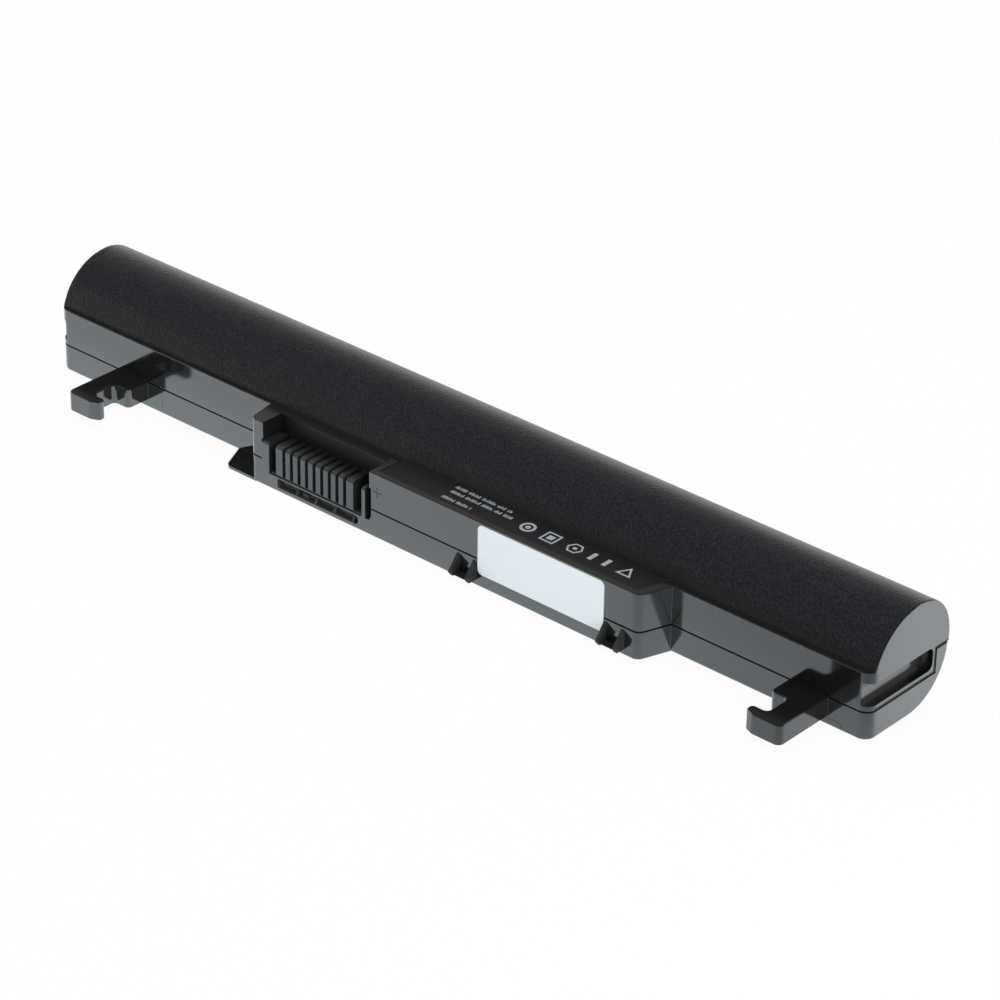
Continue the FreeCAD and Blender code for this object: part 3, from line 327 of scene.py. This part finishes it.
    def roof_normal(self, otherwise):
        """Normal of the two arcs of the roof, worked out from the place, and otherwise the one given.

        It hides the small steps between the flats of the mesh, where the light from behind glances.
        """
        crown_y, crown_z = ROOF_CROWN
        behind = self.math("GREATER_THAN", self.axis("Y"), crown_y)
        middle = self.blend(behind, crown_z - ROOF_RADII[0], crown_z - ROOF_RADII[1])
        joined = self.add("ShaderNodeCombineXYZ")
        self.link(self.math("SUBTRACT", self.axis("Y"), crown_y), joined.inputs["Y"])
        self.link(self.math("SUBTRACT", self.axis("Z"), middle), joined.inputs["Z"])
        turned = self.add("ShaderNodeVectorTransform", vector_type="NORMAL",
                          convert_from="OBJECT", convert_to="WORLD")
        self.link(joined.outputs[0], turned.inputs[0])
        on_roof = self.product(self.ramp(self.axis("Z"), LEDGE_TOP + 0.4, LEDGE_TOP + 0.8),
                               self.ramp(self.math("ABSOLUTE", self.axis("X")),
                                         HALF_LENGTH - 0.4, HALF_LENGTH - 0.3, 1.0, 0.0))
        even = self.add("ShaderNodeVectorMath", operation="NORMALIZE")
        self.link(self.mixed("VECTOR", on_roof, otherwise, turned.outputs[0]), even.inputs[0])
        return even.outputs[0]

    def line_at(self, distance, half_width, soft=0.03):
        """1 on a thin line where distance is near 0."""
        away = self.math("ABSOLUTE", distance)
        return self.ramp(away, half_width - soft, half_width + soft, 1.0, 0.0)

    def away_from(self, letter, middle):
        """Distance from a place along one axis."""
        return self.math("ABSOLUTE", self.math("SUBTRACT", self.axis(letter), middle))

    def shader(self, **values):
        """The material's surface; keys are socket names with underscores."""
        item = self.add("ShaderNodeBsdfPrincipled")
        for key, value in values.items():
            self.feed(item.inputs[key.replace("_", " ")], value)
        self.link(item.outputs[0], self.out.inputs["Surface"])


def new_material(name):
    """The tree of a new material."""
    return Tree(bpy.data.materials.new(name))


def new_object(name, data):
    """An object for a mesh, lamp or camera, in the scene."""
    item = bpy.data.objects.new(name, data)
    bpy.context.scene.collection.objects.link(item)
    return item


# Materials.

def dust(tree, share, spacing=4.0, radius=0.19):
    """Mask of a few pale specks of dust, far apart; share is how many of the places have one."""
    cells = tree.cells(spacing)
    chosen = tree.add("ShaderNodeSeparateColor")
    tree.link(cells.outputs["Color"], chosen.inputs[0])
    size = tree.math("MULTIPLY", chosen.outputs["Green"], radius / spacing)
    near = tree.math("LESS_THAN", cells.outputs["Distance"], size)
    few = tree.math("LESS_THAN", chosen.outputs["Red"], share)
    return tree.product(near, few)


def witness_marks(tree):
    """Faint lines that the mould leaves low on the front wall: a round-cornered box and a join."""
    strength = 0.8
    corner = 0.3
    across = []
    for letter, middle, half in (("X", 94.0, 2.3), ("Z", 1.0, 0.65)):
        beyond = tree.math("SUBTRACT", tree.away_from(letter, middle), half - corner)
        across.append(tree.math("MAXIMUM", beyond, 0.0))
    square = [tree.math("MULTIPLY", side, side) for side in across]
    reach = tree.math("SQRT", tree.math("ADD", *square))
    box = tree.line_at(tree.math("SUBTRACT", reach, corner), 0.07)
    join = tree.product(tree.line_at(tree.math("ADD", tree.axis("X"), 72.7), 0.06),
                        tree.between("Z", 0.5, 5.8))
    return tree.product(tree.largest(box, join), tree.between("Y", -0.1, 0.1), strength)


def case_places(tree):
    """Masks of the places that the case's material tells apart, by name."""
    x, y, z = (tree.axis(letter) for letter in "XYZ")
    sideways = tree.math("ABSOLUTE", tree.facing("X"))
    outward = tree.math("ABSOLUTE", x)
    upward = tree.ramp(tree.facing("Z"), 0.9, 0.97)
    at_end = (HALF_LENGTH - 0.1, HALF_LENGTH - 0.04)
    bay_x, _, bay_z = CONNECTOR_BAY

    barrel = tree.product(
        tree.largest(tree.ramp(z, LEDGE_TOP + 0.02, LEDGE_TOP + 0.12), tree.ramp(y, 12.4, 12.8)),
        tree.ramp(sideways, 0.6, 0.9, 1.0, 0.0))
    outer_end = tree.product(tree.ramp(outward, *at_end), tree.ramp(sideways, 0.9, 0.97))
    in_groove = tree.product(tree.between("Z", *GROOVE_Z), tree.ramp(outward, 100.05, 100.15),
                             tree.ramp(outward, *at_end, 1.0, 0.0))
    # Painted highlight high on the groove's back wall.
    groove_painted_light = tree.product(in_groove, tree.ramp(z, 8.1, 8.9),
                              tree.ramp(outward, 101.0, 101.4, 1.0, 0.0),
                              tree.ramp(y, 13.0, 14.6, 1.0, 0.0))
    # Painted shade along the seam on the end faces.
    end_seam_painted_shade = tree.product(outer_end, tree.largest(
        *(tree.product(tree.between("Z", *high), tree.between("Y", *deep))
          for high, deep in END_SEAM)))

    top = tree.product(upward, tree.between("Z", 13.3, LEDGE_TOP + 0.05, 0.03))
    hook_top = tree.product(upward, tree.between("Z", 5.9, 6.1, 0.03), tree.ramp(y, -0.1, -0.2))
    panel = tree.product(top, tree.between("Z", 13.4, 13.62, 0.02))
    border = tree.product(top, tree.ramp(z, 13.62, 13.66), tree.ramp(y, 0.2, -0.2),
                          tree.between("X", *BORDER_X))
    # Painted light on the top of the post.
    post_top_painted_light = tree.product(top, tree.ramp(y, -1.0, -3.0), tree.between("X", *POST_X))

    in_bay = tree.inside(CONNECTOR_BAY)
    bay_back = tree.product(in_bay, tree.ramp(y, -2.4, -2.0), tree.ramp(z, 9.6, 10.0))
    bay_side = tree.product(tree.inside(BAY_SIDE), tree.ramp(tree.facing("X"), 0.5, 0.9))
    rim = tree.product(tree.between("X", *bay_x), tree.between("Y", *BAY_RIM_Y),
                       tree.ramp(z, bay_z[1] - 0.05, bay_z[1] + 0.05))

    catch = tree.product(tree.ramp(z, 5.5, 5.3), tree.ramp(y, -6.62, -6.55, 1.0, 0.0),
                         tree.largest(*(tree.between("X", *span) for span in CATCHES_X)))
    return {"barrel": barrel, "outer_end": outer_end, "in_groove": in_groove,
            "groove_painted_light": groove_painted_light, "end_seam_painted_shade": end_seam_painted_shade, "top": top, "hook_top": hook_top,
            "panel": panel, "border": border, "post_top_painted_light": post_top_painted_light, "in_bay": in_bay,
            "bay_back": bay_back, "bay_side": bay_side, "rim": rim, "catch": catch,
            "slot": tree.inside(LOW_SLOT), "marks": witness_marks(tree)}


def case_material():
    """Black case: glossy walls and ends, satin grained barrel, sunk panel with a brown border."""
    tree = new_material("case_black")
    places = case_places(tree)
    barrel = places["barrel"]
    smooth = tree.rest_of(barrel)
    mottle = tree.noise(9.0, 3.0)
    grain = tree.noise(0.45, 2.0, 0.65)
    fine = tree.noise(0.14, 2.0, 0.6, shift=5.0)
    scuffs = tree.noise(2.4, 4.0, 0.65, stretch=(5.0, 1.0, 0.35), shift=11.0)
    specks = dust(tree, tree.blend(barrel, 0.3, 0.08))

    gloss = tree.mix(mottle, (0.0060, 0.0064, 0.0068), (0.0085, 0.0090, 0.0094))
    for names, colour in CASE_COLOURS:
        gloss = tree.mix(tree.largest(*(places[name] for name in names)), gloss, colour)
    satin = tree.mix(tree.ramp(grain, 0.35, 0.65), (0.0050, 0.0062, 0.0080),
                     (0.0150, 0.0172, 0.0205))
    # Painted shade: the barrel's satin darkens to black towards its foot on the ledge.
    foot_painted_shade = tree.ramp(tree.axis("Z"), 14.2, 17.2, 0.6, 0.0)
    satin = tree.mix(foot_painted_shade, satin, (0.0, 0.0, 0.0))
    colour = tree.mix(barrel, gloss, satin)
    colour = tree.mix(specks, colour, (0.66, 0.67, 0.69))

    rough = tree.ramp(scuffs, 0.3, 0.8, 0.09, 0.15)
    for names, level in CASE_ROUGHNESS:
        rough = tree.blend(tree.largest(*(places[name] for name in names)), rough, level)
    rough = tree.blend(barrel, rough, tree.ramp(fine, 0.3, 0.7, 0.29, 0.39))
    rough = tree.blend(specks, rough, 0.9)

    height = tree.math("ADD", tree.product(grain, barrel, 5.0), tree.product(specks, 0.6))
    height = tree.math("ADD", height, tree.product(scuffs, smooth, 0.02))
    normal = tree.bump(height, 0.016, tree.roof_normal(tree.soft_edges(0.10)))
    bare = tree.largest(*(places[name] for name in UNCOATED))
    clear = tree.product(smooth, tree.rest_of(specks), tree.rest_of(bare))
    clear = tree.math("MAXIMUM", clear, tree.product(barrel, 0.05))
    tree.shader(Base_Color=colour, Roughness=rough, Normal=normal, IOR=1.5,
                Coat_Weight=clear, Coat_Roughness=0.1, Coat_IOR=2.05, Coat_Normal=normal)
    return tree.holder


def connector_material():
    """Comb of the connector: slightly matt moulded plastic, with painted shade deep between the fins.
    """
    tree = new_material("connector_black")
    mottle = tree.noise(3.0, 3.0)
    grain = tree.noise(0.2, 2.0, 0.6)
    # Painted shade: the comb darkens towards the back, deep between the fins.
    deep = tree.ramp(tree.axis("Y"), -6.0, -2.6)
    colour = tree.mix(mottle, (0.032, 0.036, 0.037), (0.040, 0.044, 0.046))
    colour = tree.mix(deep, colour, (0.0110, 0.0115, 0.0120))
    normal = tree.bump(grain, 0.006, tree.soft_edges(0.16))
    tree.shader(Base_Color=colour, Roughness=tree.ramp(grain, 0.3, 0.7, 0.2, 0.28),
                Normal=normal, IOR=1.5, Coat_Weight=tree.blend(deep, 0.7, 0.1),
                Coat_Roughness=0.15, Coat_IOR=1.8)
    return tree.holder


def plain_material(name, first, second, size, roughness, depth, metallic=0.0, coat=0.0,
                   stretch=(1, 1, 1), edge=0.1):
    """A mottled surface with a fine bump, for parts inside the case."""
    tree = new_material(name)
    mottle = tree.noise(size, 3.0, stretch=stretch)
    grain = tree.noise(size * 0.12, 3.0, 0.6, stretch=stretch, shift=3.0)
    colour = tree.mix(tree.ramp(mottle, 0.3, 0.7), first, second)
    normal = tree.bump(grain, depth, tree.soft_edges(edge))
    tree.shader(Base_Color=colour, Metallic=metallic, Normal=normal, Coat_Weight=coat,
                Roughness=tree.ramp(grain, 0.3, 0.7, roughness * 0.8, roughness * 1.2))
    return tree.holder


def board_material():
    """Circuit board: green lacquer with copper tracks under it."""
    tree = new_material("board_green")
    tracks = tree.add("ShaderNodeTexBrick")
    tree.link(tree.place(), tracks.inputs["Vector"])
    for key, number in (("Scale", 1.0), ("Mortar Size", 0.12), ("Brick Width", 3.4),
                        ("Row Height", 0.9)):
        tracks.inputs[key].default_value = number
    copper = tracks.outputs["Fac"]
    lacquer = tree.mix(tree.noise(4.0), (0.012, 0.10, 0.045), (0.02, 0.15, 0.065))
    colour = tree.mix(copper, lacquer, (0.035, 0.24, 0.09))
    normal = tree.bump(copper, 0.02, tree.soft_edges(0.08))
    tree.shader(Base_Color=colour, Roughness=tree.ramp(copper, 0.0, 1.0, 0.34, 0.26),
                Normal=normal, Coat_Weight=0.6, Coat_Roughness=0.15)
    return tree.holder


def label_material():
    """Blank paper label with a faint fibre and a slightly worn rim."""
    tree = new_material("label_white")
    fibre = tree.noise(0.5, 4.0, 0.65, stretch=(2.2, 1.0, 1.0))
    cloud = tree.noise(12.0, 2.0, shift=4.0)
    rims = [tree.ramp(tree.away_from(letter, middle), half - 0.4, half)
            for letter, middle, half in zip("XZ", LABEL_MIDDLE, LABEL_HALF)]
    paper = tree.mix(cloud, (0.86, 0.94, 0.975), (0.885, 0.965, 0.995))
    paper = tree.mix(tree.product(fibre, 0.2), paper, (0.76, 0.82, 0.86))
    paper = tree.mix(tree.product(tree.largest(*rims), 0.2), paper, (0.68, 0.73, 0.76))
    normal = tree.bump(fibre, 0.006, tree.soft_edges(0.05))
    tree.shader(Base_Color=paper, Roughness=tree.ramp(fibre, 0.3, 0.7, 0.5, 0.6),
                Normal=normal)
    return tree.holder


def ink_material():
    """Thin grey-white print."""
    tree = new_material("print_ink")
    patchy = tree.noise(0.25, 2.0, 0.6)
    colour = tree.mix(tree.ramp(patchy, 0.3, 0.7), (0.28, 0.30, 0.33), (0.41, 0.44, 0.48))
    tree.shader(Base_Color=colour, Roughness=tree.ramp(patchy, 0.3, 0.7, 0.45, 0.6),
                Normal=tree.bump(patchy, 0.003))
    return tree.holder


materials = {
    "case_black": case_material(),
    "connector_black": connector_material(),
    "board_green": board_material(),
    "label_white": label_material(),
}

# Inner parts: name, two colours, size of the mottle, roughness and depth of the bump, and where
# they differ from plain_material's, metallic, coat, stretch and edge radius.
for row in (
        ("contact_gold", (0.66, 0.44, 0.16), (0.78, 0.55, 0.24), 1.0, 0.25, 0.003, 1.0, 0.0,
         (1, 1, 5), 0.05),
        ("cell_sleeve", (0.035, 0.20, 0.31), (0.045, 0.25, 0.37), 14.0, 0.34, 0.02, 0.0, 0.5,
         (3, 1, 1), 0.3),
        ("insulator_paper", (0.66, 0.66, 0.60), (0.76, 0.76, 0.71), 2.0, 0.8, 0.02),
        ("adhesive_foam", (0.58, 0.57, 0.52), (0.70, 0.69, 0.64), 0.8, 0.9, 0.05),
        ("nickel", (0.50, 0.49, 0.46), (0.62, 0.61, 0.58), 1.5, 0.32, 0.004, 1.0, 0.0,
         (1, 6, 1), 0.05),
        ("lead_black", (0.010, 0.010, 0.011), (0.016, 0.016, 0.017), 3.0, 0.45, 0.01),
        ("lead_red", (0.34, 0.012, 0.010), (0.42, 0.020, 0.014), 3.0, 0.45, 0.01),
        ("chip_black", (0.012, 0.012, 0.013), (0.020, 0.020, 0.021), 0.8, 0.6, 0.008),
        ("fuse_ceramic", (0.60, 0.57, 0.50), (0.70, 0.67, 0.60), 1.2, 0.55, 0.008),
        ("chip_resistor", (0.018, 0.018, 0.020), (0.04, 0.04, 0.044), 0.7, 0.4, 0.004),
        ("chip_capacitor", (0.28, 0.18, 0.10), (0.36, 0.24, 0.14), 0.7, 0.45, 0.004),
        ("bead_glaze", (0.015, 0.05, 0.17), (0.03, 0.08, 0.24), 1.0, 0.2, 0.004, 0.0, 0.8)):
    materials[row[0]] = plain_material(*row)

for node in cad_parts.values():
    slot_name = node.material_slots[0].material.name.split(".")[0]
    for holder in node.material_slots:
        holder.material = materials[slot_name]


# Printed marks.

PRINT_SINK = 0.005
PRINT_LIFT = 0.012
INK = ink_material()

# Rows of ticks: left, right and base. A tick is at most as high as its row.
TICK_ROWS = ((5.6, 19.5, 0.02), (5.9, 21.2, -1.75), (5.9, 13.4, -4.2))
TICK_HEIGHT = 0.85
TICK_SHARES = (1.0, 1.0, 0.72)
TICK_WIDTHS = (0.15, 0.2, 0.27)
TICK_GAP = 0.2
GROUP_GAP = 0.45
ROW_MARGIN = 0.3

# Middles of the round and cornered marks, and the spans of the two bars and their height.
RING_AT = (25.1, -1.65)
SQUARE_AT = (30.65, -1.7)
HEXAGON_AT = (36.35, -1.6)
TRIANGLE_AT = (48.6, -1.9)
BARS_X = ((40.1, 41.0), (43.4, 44.3))
BARS_Y = (-2.8, -0.35)


def slab(mesh, outline, hole=None):
    """A thin closed plate on the panel from an outline, with an optional hole in it."""
    low_z = (PANEL_TOP - PRINT_SINK) * MM
    high_z = (PANEL_TOP + PRINT_LIFT) * MM
    rings = []
    for points in (outline, hole):
        if points:
            rings.append([[mesh.verts.new((x * MM, y * MM, z)) for x, y in points]
                          for z in (low_z, high_z)])
    count = len(outline)
    low, high = rings[0]
    for i in range(count):
        j = (i + 1) % count
        mesh.faces.new((low[i], low[j], high[j], high[i]))
        if hole:
            inner_low, inner_high = rings[1]
            mesh.faces.new((inner_low[j], inner_low[i], inner_high[i], inner_high[j]))
            mesh.faces.new((high[i], high[j], inner_high[j], inner_high[i]))
            mesh.faces.new((low[j], low[i], inner_low[i], inner_low[j]))
    if not hole:
        mesh.faces.new(high)
        mesh.faces.new(list(reversed(low)))


def ring_points(centre, radius, count, turn=0.0):
    """Corners of an even polygon round a centre."""
    return [(centre[0] + radius * math.cos(turn + math.tau * i / count),
             centre[1] + radius * math.sin(turn + math.tau * i / count)) for i in range(count)]


def bar_points(left, right, low, high):
    """Corners of a bar."""
    return [(left, low), (right, low), (right, high), (left, high)]


def finish_marks(name, mesh):
    """Turn the collected plates into one piece that rides on the case."""
    bmesh.ops.recalc_face_normals(mesh, faces=mesh.faces)
    data = bpy.data.meshes.new(name)
    mesh.to_mesh(data)
    mesh.free()
    data.materials.append(INK)
    piece = new_object(name, data)
    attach(piece, "root")


def tick_row(mesh, rng, left, right, base):
    """A row of small bars in groups, where the print has a line of words."""
    x = left
    group_left = rng.randint(5, 9)
    while x < right - ROW_MARGIN:
        width = rng.choice(TICK_WIDTHS)
        tall = TICK_HEIGHT * rng.choice(TICK_SHARES)
        slab(mesh, bar_points(x, min(x + width, right), base, base + tall))
        x += width + TICK_GAP
        group_left -= 1
        if group_left == 0:
            x += GROUP_GAP
            group_left = rng.randint(4, 9)


def print_lines():
    """Three rows of plain ticks."""
    rng = random.Random(7)
    mesh = bmesh.new()
    for row in TICK_ROWS:
        tick_row(mesh, rng, *row)
    finish_marks("print_lines", mesh)


def print_shapes():
    """Plain marks in a row: a ring, a square, a hexagon, two bars and a triangle."""
    mesh = bmesh.new()
    eighth = math.tau / 8
    quarter = math.tau / 4
    corner = math.sqrt(2)
    for outline, hole in (
            (ring_points(RING_AT, 1.6, 48), ring_points(RING_AT, 1.05, 48)),
            (ring_points(RING_AT, 0.55, 32), None),
            (ring_points(SQUARE_AT, 1.65 * corner, 4, eighth),
             ring_points(SQUARE_AT, 1.28 * corner, 4, eighth)),
            (ring_points(SQUARE_AT, 0.7 * corner, 4, eighth), None),
            (ring_points(HEXAGON_AT, 1.75, 6), ring_points(HEXAGON_AT, 1.35, 6)),
            (ring_points(HEXAGON_AT, 0.5, 6), None),
            (bar_points(*BARS_X[0], *BARS_Y), None),
            (bar_points(*BARS_X[1], *BARS_Y), None),
            (ring_points(TRIANGLE_AT, 2.0, 3, quarter),
             ring_points(TRIANGLE_AT, 1.25, 3, quarter))):
        slab(mesh, outline, hole)
    finish_marks("print_shapes", mesh)


print_lines()
print_shapes()


# Floor, light and camera.

def floor():
    """White floor; the eye sees it plain white, with the part's faint shadow.

    In reflections it is white too, but greyer in front of the right end, where the room is dark,
    and darker again where it is seen through two reflections.
    """
    data = bpy.data.meshes.new("floor")
    half = FLOOR_HALF_METRES
    data.from_pydata([(-half, -half, 0), (half, -half, 0), (half, half, 0), (-half, half, 0)],
                     [], [(0, 1, 2, 3)])
    piece = new_object("floor", data)
    tree = new_material("floor_white")
    path = tree.add("ShaderNodeLightPath")
    glossy = path.outputs["Is Glossy Ray"]
    x, y = tree.axis("X"), tree.axis("Y")

    front_place = tree.math("MULTIPLY_ADD", y, FRONT_SLANT, x)
    front = tree.product(tree.steps(front_place, FRONT_SHADES),
                         tree.ramp(y, -4.0, -15.0, 1.0, 0.88))
    past = tree.math("MAXIMUM", tree.math("SUBTRACT", x, HALF_LENGTH), 0.0)
    end_place = tree.math("MULTIPLY_ADD", past, END_SLANT, y)
    beside = tree.ramp(tree.math("MULTIPLY_ADD", past, CORNER_SLANT, y), -1.0, 6.0)
    again = tree.ramp(path.outputs["Glossy Depth"], 1.4, 1.6, 1.0, SECOND_REFLECTION)
    bright = tree.product(again, tree.blend(beside, front, tree.steps(end_place, END_SHADES)))
    mirrored = tree.mix(bright, (0.0, 0.0, 0.0), tree.mix(beside, FRONT_TINT, END_TINT))

    lit = tree.add("ShaderNodeBsdfDiffuse")
    lit.inputs["Color"].default_value = (0.9, 0.9, 0.9, 1)
    plain = tree.add("ShaderNodeEmission")
    tree.link(tree.mix(glossy, (1, 1, 1), mirrored), plain.inputs["Color"])
    seen = tree.math("MAXIMUM", path.outputs["Is Camera Ray"], glossy)
    share = tree.math("MULTIPLY_ADD", glossy, 1 - FLOOR_PLAIN, FLOOR_PLAIN)
    joined = tree.add("ShaderNodeMixShader")
    for socket, source in zip(joined.inputs, (tree.product(seen, share), lit.outputs[0],
                                              plain.outputs[0])):
        tree.link(source, socket)
    tree.link(joined.outputs[0], tree.out.inputs["Surface"])
    data.materials.append(tree.holder)


def sky():
    """Even light, white to the eye. Reflections see a white sweep behind and a dark room in front."""
    world = bpy.data.worlds.new("studio")
    bpy.context.scene.world = world
    tree = Tree(world, "ShaderNodeOutputWorld")
    path = tree.add("ShaderNodeLightPath")
    direction = tree.add("ShaderNodeTexCoord").outputs["Generated"]
    split = tree.add("ShaderNodeSeparateXYZ")
    tree.link(direction, split.inputs[0])
    turn = tree.add("ShaderNodeVectorMath", operation="DOT_PRODUCT")
    tree.link(direction, turn.inputs[0])
    turn.inputs[1].default_value = BEHIND
    behind = tree.levels(tree.math("ADD", turn.outputs["Value"], 0.5), BEHIND_FADE)
    up = split.outputs["Z"]
    mirrored = tree.mix(behind, tree.levels(up, ROOM), tree.levels(up, SWEEP))
    level = tree.mix(path.outputs["Is Glossy Ray"], (EVEN_LIGHT,) * 3, mirrored)
    backdrop = tree.add("ShaderNodeBackground")
    tree.link(tree.mix(path.outputs["Is Camera Ray"], level, (1, 1, 1)), backdrop.inputs["Color"])
    tree.link(backdrop.outputs[0], tree.out.inputs["Surface"])


def lamp(name, at, size, power):
    """A soft square lamp aimed at the part."""
    data = bpy.data.lights.new(name, "AREA")
    data.shape = "SQUARE"
    data.size = size
    data.energy = power
    item = new_object(name, data)
    item.location = at
    item.rotation_euler = (-Vector(at)).to_track_quat("-Z", "Y").to_euler()
    item.visible_glossy = False


def camera():
    """The photograph's viewpoint."""
    turn = (Matrix.Rotation(math.radians(CAMERA_AZIMUTH), 4, "Z")
            @ Matrix.Rotation(math.radians(CAMERA_TILT), 4, "X")
            @ Matrix.Rotation(math.radians(CAMERA_ROLL), 4, "Z"))
    data = bpy.data.cameras.new("photo_camera")
    data.sensor_width = SENSOR_WIDTH
    data.lens = FOCAL_PIXELS * SENSOR_WIDTH / FRAME_PIXELS
    data.clip_start, data.clip_end = CLIP_METRES
    item = new_object("photo_camera", data)
    item.matrix_world = Matrix.Translation(Vector(CAMERA_AT) * MM) @ turn
    bpy.context.scene.camera = item


floor()
sky()
for lamp_row in LAMPS:
    lamp(*lamp_row)
camera()
bpy.context.scene.view_settings.view_transform = "Standard"
